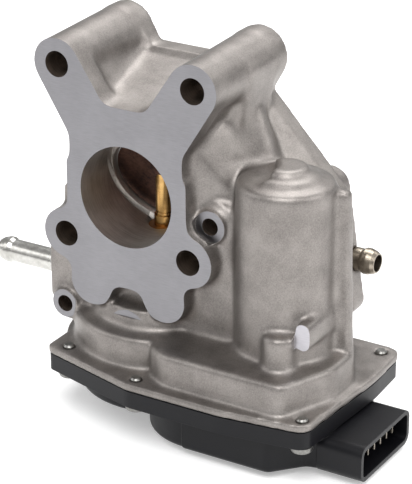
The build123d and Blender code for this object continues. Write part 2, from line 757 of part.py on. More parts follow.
def sector_gear():
    """Toothed sector with a hub that holds the magnet and the nut."""
    teeth = gear_sketch(SECTOR_TEETH, COARSE_MODULE, COARSE_MESH)
    sector = teeth & wedge(SECTOR_START, SECTOR_FINISH, 2 * SECTOR_R)
    gear = slab_top(Pos(0, SHAFT_Y) * sector, SECTOR_END, SECTOR_TOP)
    for z in (SECTOR_END - 1, SECTOR_TOP - 1.5):
        gear -= tube(0, SHAFT_Y, SECTOR_R - 4.5, HUB_R + 1.5, z, z + 2.5)
    gear += upright(0, SHAFT_Y, HUB_R, HUB_END, SHAFT_SHOULDER)
    gear -= upright(0, SHAFT_Y, STEM_R, HUB_END - 1, SHAFT_SHOULDER + 1)
    gear -= upright(0, SHAFT_Y, NUT_R + 0.6, HUB_END - 1, NUT_TOP)
    inner = MAGNET_R - MAGNET_WALL
    return gear - tube(0, SHAFT_Y, MAGNET_R, inner, HUB_END - 1, HUB_END + MAGNET_T)


def sensor_magnet():
    """Ring magnet in the end of the sector's hub."""
    return tube(0, SHAFT_Y, MAGNET_R, MAGNET_R - MAGNET_WALL, HUB_END, HUB_END + MAGNET_T)


def shaft_nut():
    """Hexagon nut that clamps the sector gear against the shoulder."""
    nut = slab_top(Pos(0, SHAFT_Y) * RegularPolygon(NUT_R, 6), SHAFT_END, NUT_TOP)
    return nut - upright(0, SHAFT_Y, STEM_R, SHAFT_END - 1, NUT_TOP + 1)


def return_spring():
    """Torsion spring round the bearing boss, its upper leg in the ceiling."""
    height = SPRING_TURNS * SPRING_PITCH
    helix = Helix(SPRING_PITCH, height, SPRING_MEAN_R)
    section = Plane(origin=helix @ 0, z_dir=helix % 0) * Circle(SPRING_WIRE_R)
    coil = Pos(0, SHAFT_Y, SPRING_TOP - height) * sweep(section, path=helix)
    leg_r = SPRING_WIRE_R - 0.05
    upper = upright(SPRING_MEAN_R, SHAFT_Y - 0.5, leg_r, SPRING_TOP - 0.4, CEILING)
    low = SPRING_TOP - height
    lower = upright(SPRING_MEAN_R, SHAFT_Y + 0.5, leg_r, SECTOR_TOP + 0.3, low + 0.4)
    return coil + upper + lower


def spring_sleeve():
    """Plastic guide between the bearing boss and the spring."""
    low = BOSS_END - SLEEVE_LIP
    sleeve = tube(0, SHAFT_Y, SLEEVE_R, BOSS_R + SEAT_GAP, low, CEILING)
    return sleeve + tube(0, SHAFT_Y, SLEEVE_R - 0.2, BOSS_R - 1.5, low, BOSS_END)


def stop_pin():
    """Steel pin that the sector meets when the flap is closed."""
    return upright(STOP_X, STOP_Y, STOP_R, SECTOR_END - 0.5, CEILING + AXLE_SEAT)


def intermediate_pinion():
    """Steel pinion with the sleeve that the large wheel is pressed on."""
    phase = COARSE_MESH + pi + pi / IDLER_TEETH
    teeth = Pos(IDLER_X, IDLER_Y) * gear_sketch(IDLER_TEETH, COARSE_MODULE, phase)
    pinion = slab_top(teeth, WHEEL_TOP, PINION_TOP)
    pinion += upright(IDLER_X, IDLER_Y, IDLER_SLEEVE_R, WHEEL_END, WHEEL_TOP + 1)
    return pinion - upright(IDLER_X, IDLER_Y, AXLE_R + RUN_GAP, WHEEL_END - 1, PINION_TOP + 1)


def intermediate_wheel():
    """Moulded wheel driven by the motor pinion."""
    teeth = Pos(IDLER_X, IDLER_Y) * gear_sketch(WHEEL_TEETH, FINE_MODULE, FINE_MESH)
    wheel = slab_top(teeth, WHEEL_END, WHEEL_TOP)
    web_out = WHEEL_R - 3.4
    web_in = IDLER_R + 1.6
    for z in (WHEEL_END - 1, WHEEL_TOP - 1.2):
        wheel -= tube(IDLER_X, IDLER_Y, web_out, web_in, z, z + 2.2)
    for index in range(6):
        turn = pi * index / 3
        x = IDLER_X + (web_out + web_in) / 2 * cos(turn)
        y = IDLER_Y + (web_out + web_in) / 2 * sin(turn)
        wheel -= upright(x, y, (web_out - web_in) / 2 - 1.0, WHEEL_END - 1, WHEEL_TOP + 1)
    return wheel - upright(IDLER_X, IDLER_Y, IDLER_SLEEVE_R, WHEEL_END - 1, WHEEL_TOP + 1)


def intermediate_axle():
    """Fixed axle between the cover's floor and the drum's ceiling."""
    return upright(IDLER_X, IDLER_Y, AXLE_R, BOWL_FLOOR, CEILING + AXLE_SEAT)


def motor_pinion():
    """Pinion on the motor shaft."""
    phase = FINE_MESH + pi + pi / PINION_TEETH
    teeth = Pos(MOTOR_X, MOTOR_Y) * gear_sketch(PINION_TEETH, FINE_MODULE, phase)
    pinion = slab_top(teeth, WHEEL_END - 0.3, WHEEL_TOP + 0.5)
    return pinion - upright(MOTOR_X, MOTOR_Y, ROTOR_SHAFT_R, WHEEL_END - 1, WHEEL_TOP + 1)


def motor_shaft():
    """Steel shaft through the whole motor."""
    return upright(MOTOR_X, MOTOR_Y, ROTOR_SHAFT_R, WHEEL_END - 0.6, NOSE_TOP - 1.2)


def motor_can():
    """Drawn steel can, closed at the top with a nose for the upper bush."""
    inner_r = CAN_R - CAN_WALL
    can = upright(MOTOR_X, MOTOR_Y, CAN_R, CEILING, CAN_TOP)
    can -= upright(MOTOR_X, MOTOR_Y, inner_r, CEILING - 1, CAN_TOP - CAN_WALL)
    can += upright(MOTOR_X, MOTOR_Y, NOSE_R, CAN_TOP - CAN_WALL / 2, NOSE_TOP)
    return can - upright(MOTOR_X, MOTOR_Y, MOTOR_BUSH_R, CAN_TOP - 2, NOSE_TOP - 0.8)


def motor_flange():
    """Steel plate that closes the can and is screwed to the body."""
    (x1, y1), (x2, y2) = motor_screw_places()
    ear_r = MOTOR_HEAD_R + 1.0
    face = strap(x1, y1, ear_r, x2, y2, ear_r) + disc(MOTOR_X, MOTOR_Y, CAN_R)
    plate = slab_top(face, MOTOR_SEAT, CEILING)
    for x, y in motor_screw_places():
        plate -= upright(x, y, SCREW_R, MOTOR_SEAT - 1, CEILING + 1)
    return plate - upright(MOTOR_X, MOTOR_Y, MOTOR_BUSH_R, MOTOR_SEAT - 1, CEILING + 1)


def motor_bushes():
    """Bronze bushes at both ends of the motor shaft."""
    inner = ROTOR_SHAFT_R + RUN_GAP
    lower = tube(MOTOR_X, MOTOR_Y, MOTOR_BUSH_R, inner, MOTOR_SEAT - 2, CEILING)
    return lower + tube(MOTOR_X, MOTOR_Y, MOTOR_BUSH_R, inner, CAN_TOP - 1, NOSE_TOP - 0.8)


def motor_magnets():
    """Two arc magnets inside the can."""
    ring = tube(MOTOR_X, MOTOR_Y, CAN_R - CAN_WALL, FIELD_INNER_R, FIELD_LOW, FIELD_HIGH)
    gap = Box(3 * CAN_R, 9.0, FIELD_HIGH - FIELD_LOW + 2, align=RISING)
    return ring - Pos(MOTOR_X, MOTOR_Y, FIELD_LOW - 1) * gap


def motor_armature():
    """Slotted iron core on the motor shaft."""
    core_r = FIELD_INNER_R - AIR_GAP
    core = disc(MOTOR_X, MOTOR_Y, core_r) - disc(MOTOR_X, MOTOR_Y, ROTOR_SHAFT_R)
    for index in range(SLOT_COUNT):
        ray = Pos(MOTOR_X, MOTOR_Y) * Rot(0, 0, 360.0 * index / SLOT_COUNT)
        core -= ray * Pos(core_r - 2.5, 0) * Rectangle(7.0, 1.6)
        core -= ray * Pos(core_r - 4.6, 0) * Circle(2.0)
    return slab_top(core, FIELD_LOW + 3.0, FIELD_HIGH - 3.0)


def motor_commutator():
    """Copper commutator under the core."""
    low = CEILING + 1.5
    return tube(MOTOR_X, MOTOR_Y, COMMUTATOR_R, ROTOR_SHAFT_R, low, low + 7.0)


def brush_holder():
    """Plastic ring in the can's mouth that guides the brushes."""
    outer = CAN_R - CAN_WALL - SEAT_GAP
    top = CEILING + HOLDER_HEIGHT
    ring = tube(MOTOR_X, MOTOR_Y, outer, COMMUTATOR_R + 1.5, CEILING, top)
    reach = 2 * (COMMUTATOR_R + BRUSH_LENGTH + 1.0)
    slot = Box(reach, BRUSH_WIDTH + 2 * RUN_GAP, BRUSH_HEIGHT + 2 * RUN_GAP)
    return ring - Pos(MOTOR_X, MOTOR_Y, CEILING + HOLDER_HEIGHT - 2) * slot


def motor_brushes():
    """Two carbon brushes on the commutator."""
    brushes = Part()
    z = CEILING + HOLDER_HEIGHT - 2
    for side in (-1, 1):
        x = MOTOR_X + side * (COMMUTATOR_R - 1 + BRUSH_LENGTH / 2)
        brushes += Pos(x, MOTOR_Y, z) * Box(BRUSH_LENGTH, BRUSH_WIDTH, BRUSH_HEIGHT)
    return brushes - upright(MOTOR_X, MOTOR_Y, COMMUTATOR_R + RUN_GAP, z - 4, z + 4)


def motor_terminals():
    """Two blades that hang from the motor flange."""
    blades = Part()
    for y in (MOTOR_Y + 5.0, MOTOR_Y + 9.0):
        blade = Box(0.8, 2.8, 12.0, align=(Align.CENTER, Align.CENTER, Align.MAX))
        blades += Pos(MOTOR_X + 8.0, y, MOTOR_SEAT) * blade
    return blades


def spring_washer():
    """Flat spring washer over the motor."""
    high = CAN_TOP + WASHER_T
    return tube(MOTOR_X, MOTOR_Y, CAN_R - 3.0, NOSE_R + 1.0, CAN_TOP, high)


def screws(places, under_head, grip, head_r):
    """Pan head screws that point up from a seating height."""
    group = Part()
    tip_z = under_head + grip - 0.6
    head_z = under_head - SCREW_HEAD_T
    for x, y in places:
        head = upright(x, y, head_r, head_z, under_head)
        head = fillet(head.edges().group_by(Axis.Z)[0], 0.8)
        head -= Pos(x, y, head_z) * Box(head_r, 0.9, 1.6)
        head -= Pos(x, y, head_z) * Box(0.9, head_r, 1.6)
        shank = upright(x, y, SCREW_R, under_head - 0.2, tip_z)
        tip = Pos(x, y, tip_z) * Cone(SCREW_R, SCREW_R - 0.5, 0.6, align=RISING)
        group += head + shank + tip
    return group


def pin_places():
    """Positions of the connector's terminals across its mouth."""
    first = CONNECTOR_Y - PIN_PITCH * (PIN_COUNT - 1) / 2
    return [first + PIN_PITCH * index for index in range(PIN_COUNT)]


def connector_terminals():
    """Row of flat terminals through the back wall of the connector."""
    start = CONNECTOR_ROOT_X - 1.4
    length = CONNECTOR_FACE_X - PIN_RECESS - start
    group = Part()
    for y in pin_places():
        blade = Box(length, PIN_T, PIN_WIDTH, align=(Align.MIN, Align.CENTER, Align.CENTER))
        group += Pos(start, y, CONNECTOR_Z) * blade
    return group


def gasket_sketch():
    """Seal path round the open space of the gear case and the cover."""
    drum = disc(0, SHAFT_Y, DRUM_R - CASE_WALL)
    inside = drum + grow(hump_sketch(), -CASE_WALL) + grow(gear_bowl_sketch(), -COVER_WALL)
    return grow(inside, GASKET_OUT) - grow(inside, GASKET_IN)


def cover_gasket():
    """Flat seal in its groove in the cover."""
    return slab_top(gasket_sketch(), PARTING_Z - GASKET_T, PARTING_Z)


def connector_box(shrink, x_low, x_high):
    """Rounded block along X about the connector's axis."""
    size_y = CONNECTOR_WIDTH - 2 * shrink
    size_z = CONNECTOR_HEIGHT - 2 * shrink
    block = Box(x_high - x_low, size_y, size_z, align=(Align.MIN, Align.CENTER, Align.CENTER))
    block = fillet(block.edges().filter_by(Axis.X), CONNECTOR_CORNER_R - shrink)
    return Pos(x_low, CONNECTOR_Y, CONNECTOR_Z) * block


def round_bottom(solid, radius):
    """Round the lower edge of a standing solid."""
    return fillet(solid.edges().group_by(Axis.Z)[0], radius)


def connector_keys():
    """Keys under the connector's mouth."""
    keys = Part()
    for index in range(KEY_COUNT):
        key = Box(2 * KEY_SIZE, KEY_SIZE, KEY_SIZE + 1, align=(Align.MAX, Align.CENTER, Align.MIN))
        low = CONNECTOR_TOP - CONNECTOR_HEIGHT - KEY_SIZE
        keys += Pos(CONNECTOR_FACE_X - 2.0, KEY_Y + KEY_PITCH * index, low) * key
    return keys


def cover():
    """Moulded cover: rim, drum bowl, gear bowl and connector shroud."""
    shell = slab_top(grow(plate_sketch(), -RIM_INSET), RIM_END, PARTING_Z)
    bowl = upright(0, SHAFT_Y, DRUM_BOWL_R, DRUM_BOWL_END, RIM_END + 1)
    shell += round_bottom(bowl, BOWL_EDGE_R)
    shell += round_bottom(slab_top(gear_bowl_sketch(), GEAR_BOWL_END, RIM_END + 1), BOWL_EDGE_R)
    shell += connector_box(0, CONNECTOR_ROOT_X, CONNECTOR_FACE_X) + connector_keys()
    shell -= upright(0, SHAFT_Y, DRUM_BOWL_R - COVER_WALL, DRUM_FLOOR, PARTING_Z + 1)
    shell -= slab_top(grow(gear_bowl_sketch(), -COVER_WALL), BOWL_FLOOR, PARTING_Z + 1)
    mouth_x = CONNECTOR_FACE_X - MOUTH_DEPTH
    shell -= connector_box(CONNECTOR_WALL, mouth_x, CONNECTOR_FACE_X + 1)
    boss_r = 2 * AXLE_R
    boss_top = WHEEL_END - 2 * FACE_GAP
    shell += tube(IDLER_X, IDLER_Y, boss_r, AXLE_R, BOWL_FLOOR - 1, boss_top)
    for x, y in COVER_SCREWS:
        shell -= upright(x, y, SCREW_R, RIM_END - 1, PARTING_Z + 1)
    shell -= slab_top(gasket_sketch(), PARTING_Z - GASKET_T, PARTING_Z + 1)
    return shell - connector_terminals()


def sensor_board():
    """Position sensor board on the cover's floor, facing the magnet."""
    return Pos(BOARD_X, SHAFT_Y, DRUM_FLOOR) * Box(BOARD_LENGTH, BOARD_WIDTH, BOARD_T, align=RISING)


if __name__ == "__main__":
    os.makedirs("parts", exist_ok=True)
    export("housing", housing())
    export("coolant_nipple_left", nipple(LEFT_PIPE, LEFT_PIPE_END_X))
    export("coolant_nipple_right", nipple(RIGHT_PIPE, RIGHT_PIPE_END_X))
    export("flap_disc", flap_disc())
    export("flap_seal_ring", flap_seal_ring())
    export("flap_shaft", flap_shaft())
    bush_end = BUSH_TOP - BUSH_LENGTH
    export("shaft_bush", tube(0, SHAFT_Y, BUSH_R, JOURNAL_R + RUN_GAP, bush_end, BUSH_TOP))
    export("shaft_seal", shaft_seal())
    export("bearing_outer_ring", bearing_race(BEARING_R, BEARING_OUTER_R))
    export("bearing_inner_ring", bearing_race(BEARING_INNER_R, JOURNAL_R))
    export("bearing_balls", bearing_balls())
    export("sector_gear", sector_gear())
    export("sensor_magnet", sensor_magnet())
    export("shaft_nut", shaft_nut())
    export("return_spring", return_spring())
    export("spring_sleeve", spring_sleeve())
    export("stop_pin", stop_pin())
    export("intermediate_pinion", intermediate_pinion())
    export("intermediate_wheel", intermediate_wheel())
    export("intermediate_axle", intermediate_axle())
    export("motor_can", motor_can())
    export("motor_flange", motor_flange())
    export("motor_bushes", motor_bushes())
    export("motor_magnets", motor_magnets())
    export("motor_armature", motor_armature())
    export("motor_commutator", motor_commutator())
    export("motor_shaft", motor_shaft())
    export("brush_holder", brush_holder())
    export("motor_brushes", motor_brushes())
    export("motor_pinion", motor_pinion())
    export("motor_terminals", motor_terminals())
    export("motor_spring_washer", spring_washer())
    motor_screws = screws(motor_screw_places(), MOTOR_SEAT, MOTOR_SCREW_GRIP, MOTOR_HEAD_R)
    export("motor_screws", motor_screws)
    export("cover", cover())
    export("cover_gasket", cover_gasket())
    export("connector_terminals", connector_terminals())
    export("sensor_board", sensor_board())
    cover_grip = RIM_T + PLATE_T + SCREW_PROUD
    export("cover_screws", screws(COVER_SCREWS, RIM_END, cover_grip, SCREW_HEAD_R))
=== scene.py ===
"""Looks of a motor driven exhaust gas recirculation valve, built around its CAD frame."""

from __future__ import annotations

import json
import logging
import math
from dataclasses import dataclass, field
from enum import Enum
from typing import Iterable

import bmesh
import bpy
import numpy as np
from mathutils import Matrix, Vector

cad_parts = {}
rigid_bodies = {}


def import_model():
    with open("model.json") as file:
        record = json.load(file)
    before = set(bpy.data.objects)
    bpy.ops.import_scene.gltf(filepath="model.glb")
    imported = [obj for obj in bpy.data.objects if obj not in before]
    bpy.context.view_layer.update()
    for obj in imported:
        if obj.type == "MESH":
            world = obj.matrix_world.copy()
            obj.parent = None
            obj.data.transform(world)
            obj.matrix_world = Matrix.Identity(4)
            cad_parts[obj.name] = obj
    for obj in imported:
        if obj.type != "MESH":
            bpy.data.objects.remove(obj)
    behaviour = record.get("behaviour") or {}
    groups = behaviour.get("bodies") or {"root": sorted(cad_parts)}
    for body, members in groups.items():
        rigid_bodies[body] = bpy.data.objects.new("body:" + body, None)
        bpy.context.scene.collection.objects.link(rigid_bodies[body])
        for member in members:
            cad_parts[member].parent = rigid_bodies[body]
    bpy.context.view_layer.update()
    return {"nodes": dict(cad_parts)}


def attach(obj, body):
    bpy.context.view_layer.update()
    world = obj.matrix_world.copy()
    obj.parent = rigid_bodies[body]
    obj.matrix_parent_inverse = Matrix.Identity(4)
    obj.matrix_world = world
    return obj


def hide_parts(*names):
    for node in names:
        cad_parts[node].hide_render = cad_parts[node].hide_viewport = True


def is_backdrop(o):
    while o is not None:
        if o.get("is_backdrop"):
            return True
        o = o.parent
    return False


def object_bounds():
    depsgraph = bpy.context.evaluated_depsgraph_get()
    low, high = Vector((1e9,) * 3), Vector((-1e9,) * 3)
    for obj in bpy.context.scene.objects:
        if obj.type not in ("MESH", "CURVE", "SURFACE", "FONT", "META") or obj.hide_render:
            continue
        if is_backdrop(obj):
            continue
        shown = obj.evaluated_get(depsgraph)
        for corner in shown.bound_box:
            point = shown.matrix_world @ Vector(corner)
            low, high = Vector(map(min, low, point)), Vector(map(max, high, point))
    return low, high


MM = 0.001
UP = Vector((0.0, 0.0, 1.0))
INWARD = Vector((0.0, 1.0, 0.0))
OUTWARD = Vector((0.0, -1.0, 0.0))
# Sockets of the colour mix node, which its names don't tell apart.
MIX_A, MIX_B, MIX_RESULT = 6, 7, 2
# Range that two noises of equal weight fill, spread by the materials over shade to base.
NOISE_LOW, NOISE_HIGH = 0.32, 0.62
LOG = logging.getLogger("egr_valve")


def hex_to_linear(value: str) -> tuple[float, float, float, float]:
    """Turn an sRGB hex colour into linear light.

    Args:
        value: Six hex digits after a hash sign.

    Returns:
        Red, green, blue and an alpha of one.
    """
    channels = [int(value[i:i + 2], 16) / 255.0 for i in (1, 3, 5)]
    linear = [c / 12.92 if c <= 0.04045 else ((c + 0.055) / 1.055) ** 2.4 for c in channels]
    return (linear[0], linear[1], linear[2], 1.0)


def add_node(
    tree: bpy.types.NodeTree,
    kind: str,
    values: dict | None = None,
    links: dict | None = None,
    **settings: object,
) -> bpy.types.Node:
    """Add one shader node.

    Args:
        tree: The material's node tree.
        kind: The node's type name.
        values: Socket name or index to its value.
        links: Socket name or index to the output that feeds it.
        **settings: The node's own properties.

    Returns:
        The new node.
    """
    node = tree.nodes.new(kind)
    for name, value in settings.items():
        setattr(node, name, value)
    for name, value in (values or {}).items():
        node.inputs[name].default_value = value
    for name, source in (links or {}).items():
        tree.links.new(source, node.inputs[name])
    return node


class Pattern(Enum):
    """How the tool or the mould left the surface."""

    EVEN = "even"
    MILLED = "milled"
    BORED = "bored"
    TURNED = "turned"


# How far the grain is drawn out along x, y and z.
STRETCH = {
    Pattern.EVEN: (1.0, 1.0, 1.0),
    Pattern.MILLED: (12.0, 1.0, 1.0),
    Pattern.BORED: (14.0, 1.0, 14.0),
    Pattern.TURNED: (14.0, 14.0, 1.0),
}


@dataclass(frozen=True)
class Finish:
    """One real surface: its two sRGB tones, its gloss and the texture of its process.

    The names ending in mm are real sizes: grain, relief, mottling and the worn edge.
    """

    name: str
    base: str
    shade: str
    roughness: float
    spread: float
    metallic: float
    grain_mm: float
    relief_mm: float
    pattern: Pattern = Pattern.EVEN
    mottle_mm: float = 6.0
    edge_mm: float = 0.25
    ior: float = 1.5

    def build(self) -> bpy.types.Material:
        """Make the material.

        Returns:
            A node material named for the finish.
        """
        material = bpy.data.materials.new(self.name)
        material.use_nodes = True
        tree = material.node_tree
        tree.nodes.clear()
        place = add_node(tree, "ShaderNodeTexCoord").outputs["Object"]
        grain = self.grain(tree, place)
        mottle = add_node(
            tree, "ShaderNodeTexNoise",
            values={"Scale": 1.0 / (self.mottle_mm * MM), "Detail": 4.0, "Roughness": 0.6},
            links={"Vector": place},
        ).outputs["Fac"]
        blend = add_node(
            tree, "ShaderNodeMath", operation="MULTIPLY_ADD", use_clamp=True,
            values={1: 0.5, 2: 0.0}, links={0: grain},
        )
        half = add_node(
            tree, "ShaderNodeMath", operation="MULTIPLY", values={1: 0.5}, links={0: mottle},
        )
        tree.links.new(half.outputs[0], blend.inputs[2])
        colour = add_node(
            tree, "ShaderNodeMix", data_type="RGBA",
            values={MIX_A: hex_to_linear(self.shade), MIX_B: hex_to_linear(self.base)},
            links={0: self.contrast(tree, blend.outputs[0])},
        ).outputs[MIX_RESULT]
        roughness = add_node(
            tree, "ShaderNodeMapRange",
            values={
                "To Min": self.roughness - self.spread, "To Max": self.roughness + self.spread,
            },
            links={"Value": mottle},
        ).outputs[0]
        corner = add_node(
            tree, "ShaderNodeBevel", samples=6, values={"Radius": self.edge_mm * MM},
        ).outputs[0]
        bump = add_node(
            tree, "ShaderNodeBump",
            values={"Strength": 1.0, "Distance": self.relief_mm * MM},
            links={"Height": grain, "Normal": corner},
        ).outputs[0]
        surface = add_node(
            tree, "ShaderNodeBsdfPrincipled",
            values={"Metallic": self.metallic, "IOR": self.ior},
            links={"Base Color": colour, "Roughness": roughness, "Normal": bump},
        )
        add_node(tree, "ShaderNodeOutputMaterial", links={"Surface": surface.outputs[0]})
        return material

    def contrast(
        self, tree: bpy.types.NodeTree, source: bpy.types.NodeSocket
    ) -> bpy.types.NodeSocket:
        """Spread a soft noise over the whole range from shade to base.

        Args:
            tree: The material's node tree.
            source: A value that stays near one half.

        Returns:
            The stretched value.
        """
        return add_node(
            tree, "ShaderNodeMapRange",
            values={"From Min": NOISE_LOW, "From Max": NOISE_HIGH}, links={"Value": source},
        ).outputs[0]

    def grain(
        self, tree: bpy.types.NodeTree, place: bpy.types.NodeSocket
    ) -> bpy.types.NodeSocket:
        """Draw the fine texture that the process leaves.

        Args:
            tree: The material's node tree.
            place: Coordinates in metres.

        Returns:
            A height from 0 to 1.
        """
        stretch = STRETCH[self.pattern]
        scaled = add_node(
            tree, "ShaderNodeVectorMath", operation="MULTIPLY",
            values={1: tuple(1.0 / (self.grain_mm * MM * s) for s in stretch)}, links={0: place},
        ).outputs[0]
        return add_node(
            tree, "ShaderNodeTexNoise",
            values={"Scale": 1.0, "Detail": 3.0, "Roughness": 0.65},
            links={"Vector": scaled},
        ).outputs["Fac"]


# A356 aluminium, gravity cast and shot blasted: satin, with a fine bright speckle.
CAST_ALUMINIUM = Finish(
    "cast_aluminium", "#96918D", "#706B68", 0.46, 0.05, 0.95, 0.45, 0.06, Pattern.EVEN, 9.0, 0.5,
)
# The same metal face milled: cooler and smoother, with faint cutter lines along x.
MILLED_ALUMINIUM = Finish(
    "milled_aluminium", "#88878A", "#7B7A7D", 0.34, 0.03, 1.0, 0.35, 0.002, Pattern.MILLED,
    16.0, 0.1,
)
# Bored walls of the gas passage: turned rings, and a pale tone well above the cast one, which is
# painted light standing in for light inside the passage.
PALE_BORE_PAINTED_LIGHT = Finish(
    "bore_aluminium_painted_light", "#C9C4BF", "#A29D98", 0.46, 0.05, 1.0, 0.5, 0.01, Pattern.BORED, 8.0, 0.1,
)
# The milled pad face: a paler copy of the milled finish and the palest face on the casting, which
# is a painted highlight.
PAD_PAINTED_HIGHLIGHT = Finish(
    "pad_aluminium_painted_highlight", "#BFBDC2", "#AEACB1", 0.40, 0.03, 1.0, 0.4, 0.004, Pattern.MILLED, 8.0, 0.1,
)
# Walls of the bolt holes and the tapped holes: a darker, browner copy of the aluminium, which is
# painted shade in the holes.
HOLE_PAINTED_SHADE = Finish(
    "hole_aluminium_painted_shade", "#94867A", "#6A5E54", 0.5, 0.05, 1.0, 0.5, 0.02, Pattern.BORED, 5.0, 0.05,
)
# Heat resisting steel that has seen exhaust: brown to straw temper colours.
TEMPERED_STEEL = Finish(
    "tempered_steel", "#6E5247", "#30262A", 0.32, 0.06, 1.0, 1.2, 0.01, Pattern.EVEN, 7.0, 0.15,
)
# Nitrided valve shaft: polished, with a straw tint.
STRAW_STEEL = Finish(
    "straw_steel", "#C9A46A", "#A8834F", 0.24, 0.04, 1.0, 1.0, 0.01, Pattern.TURNED, 5.0, 0.1,
)
# Zinc plated and drawn steel tube: bright with a soft haze.
ZINC_STEEL = Finish(
    "zinc_plated_steel", "#C9C8C4", "#A9A7A2", 0.26, 0.05, 1.0, 1.5, 0.01, Pattern.EVEN, 4.0, 0.15,
)
# Zinc flake coat of the cover's screws: dull grey.
ZINC_FLAKE = Finish(
    "zinc_flake_coat", "#8F8E8B", "#6E6D6A", 0.36, 0.06, 1.0, 1.0, 0.012, Pattern.EVEN, 3.0, 0.12,
)
# Nickel plated steel gone warm: the hose end on the motor's side.
WARM_STEEL = Finish(
    "nickel_plated_steel", "#A39A8C", "#7F766A", 0.32, 0.05, 1.0, 1.2, 0.01, Pattern.EVEN,
    4.0, 0.15,
)
# Ground carbon steel for gears, pins and bearing rings.
GROUND_STEEL = Finish(
    "ground_steel", "#B4B5B7", "#93949A", 0.24, 0.04, 1.0, 0.8, 0.005, Pattern.TURNED, 5.0, 0.1,
)
# Patented spring wire: dark, slightly oily.
SPRING_STEEL = Finish(
    "spring_steel", "#66676B", "#47484C", 0.34, 0.05, 1.0, 0.8, 0.01, Pattern.EVEN, 3.0, 0.1,
)
# Sintered bronze bushes: open pores hold the oil.
SINTERED_BRONZE = Finish(
    "sintered_bronze", "#A87B4C", "#7A5734", 0.44, 0.05, 1.0, 0.3, 0.03, Pattern.EVEN, 3.0, 0.1,
)
# Free cutting brass, hobbed.
CUT_BRASS = Finish(
    "cut_brass", "#CBA763", "#A98746", 0.26, 0.04, 1.0, 0.6, 0.005, Pattern.TURNED, 3.0, 0.1,
)
# Tinned copper alloy strip of the terminals.
TINNED_COPPER = Finish(
    "tinned_copper", "#9A9287", "#7C756B", 0.34, 0.05, 1.0, 0.6, 0.006, Pattern.EVEN, 2.0, 0.08,
)
# Bare copper of the commutator.
BARE_COPPER = Finish(
    "bare_copper", "#C98A62", "#9C6240", 0.30, 0.05, 1.0, 0.6, 0.006, Pattern.TURNED, 2.0, 0.08,
)
# PBT with glass fibre, moulded in a lightly grained tool: satin black.
GLASS_FILLED_PBT = Finish(
    "glass_filled_pbt", "#0F0F13", "#09090C", 0.42, 0.05, 0.0, 0.35, 0.012, Pattern.EVEN, 10.0,
    0.35, 1.33,
)
# Unfilled acetal for the gears: milky and slightly waxy.
MOULDED_ACETAL = Finish(
    "moulded_acetal", "#DDD9CE", "#CFCABC", 0.38, 0.04, 0.0, 0.6, 0.006, Pattern.EVEN, 8.0,
    0.2, 1.48,
)
# Moulded acrylic rubber: matt black.
MOULDED_RUBBER = Finish(
    "moulded_rubber", "#1A1A1A", "#101010", 0.62, 0.05, 0.0, 0.4, 0.01, Pattern.EVEN, 4.0,
    0.15, 1.52,
)
# Sintered ferrite magnets: dark grey ceramic.
SINTERED_FERRITE = Finish(
    "sintered_ferrite", "#3A3A3D", "#29292C", 0.48, 0.05, 0.0, 0.4, 0.02, Pattern.EVEN, 3.0,
    0.1, 2.0,
)
# Stacked electrical sheet of the armature.
STACKED_SHEET = Finish(
    "stacked_sheet", "#7D7F83", "#5C5E63", 0.36, 0.05, 1.0, 0.5, 0.02, Pattern.EVEN, 4.0, 0.1,
)
# Pressed carbon brushes.
PRESSED_CARBON = Finish(
    "pressed_carbon", "#2B2B2D", "#1C1C1E", 0.55, 0.05, 0.0, 0.3, 0.02, Pattern.EVEN, 2.0,
    0.1, 1.9,
)
# Green solder resist over glass laminate.
SOLDER_RESIST = Finish(
    "solder_resist", "#1F5A3A", "#17452C", 0.32, 0.04, 0.0, 0.5, 0.01, Pattern.EVEN, 4.0,
    0.1, 1.55,
)


class Workshop:
    """Keeps one material for each finish and puts finishes on CAD nodes."""

    def __init__(self, nodes: dict[str, bpy.types.Object]) -> None:
        """Remember the frame's nodes."""
        self.nodes = nodes
        self.made: dict[str, bpy.types.Material] = {}

    def material(self, finish: Finish) -> bpy.types.Material:
        """Return the finish's material, made once."""
        if finish.name not in self.made:
            self.made[finish.name] = finish.build()
        return self.made[finish.name]

    def dress(self, node: str, finish: Finish) -> None:
        """Give a CAD node its finish and leave its mesh as it is.

        Args:
            node: The node's name.
            finish: The finish of its whole surface.
        """
        piece = self.nodes[node]
        piece.data.materials.clear()
        piece.data.materials.append(self.material(finish))
        LOG.info("%s: %s", node, finish.name)


@dataclass
class SeatGeometry:
    """The tilted seat in the gas passage, in metres."""

    tilt: float = math.radians(23.7)
    origin: Vector = field(default_factory=lambda: Vector((0.0, 20.1, -1.5)) * MM)
    radius: float = 17.2 * MM
    length: float = 5.0 * MM
    chamfer: float = 2.2 * MM

    def axis(self) -> Vector:
        """Unit vector along the seat, into the body."""
        return Vector((0.0, math.cos(self.tilt), math.sin(self.tilt)))


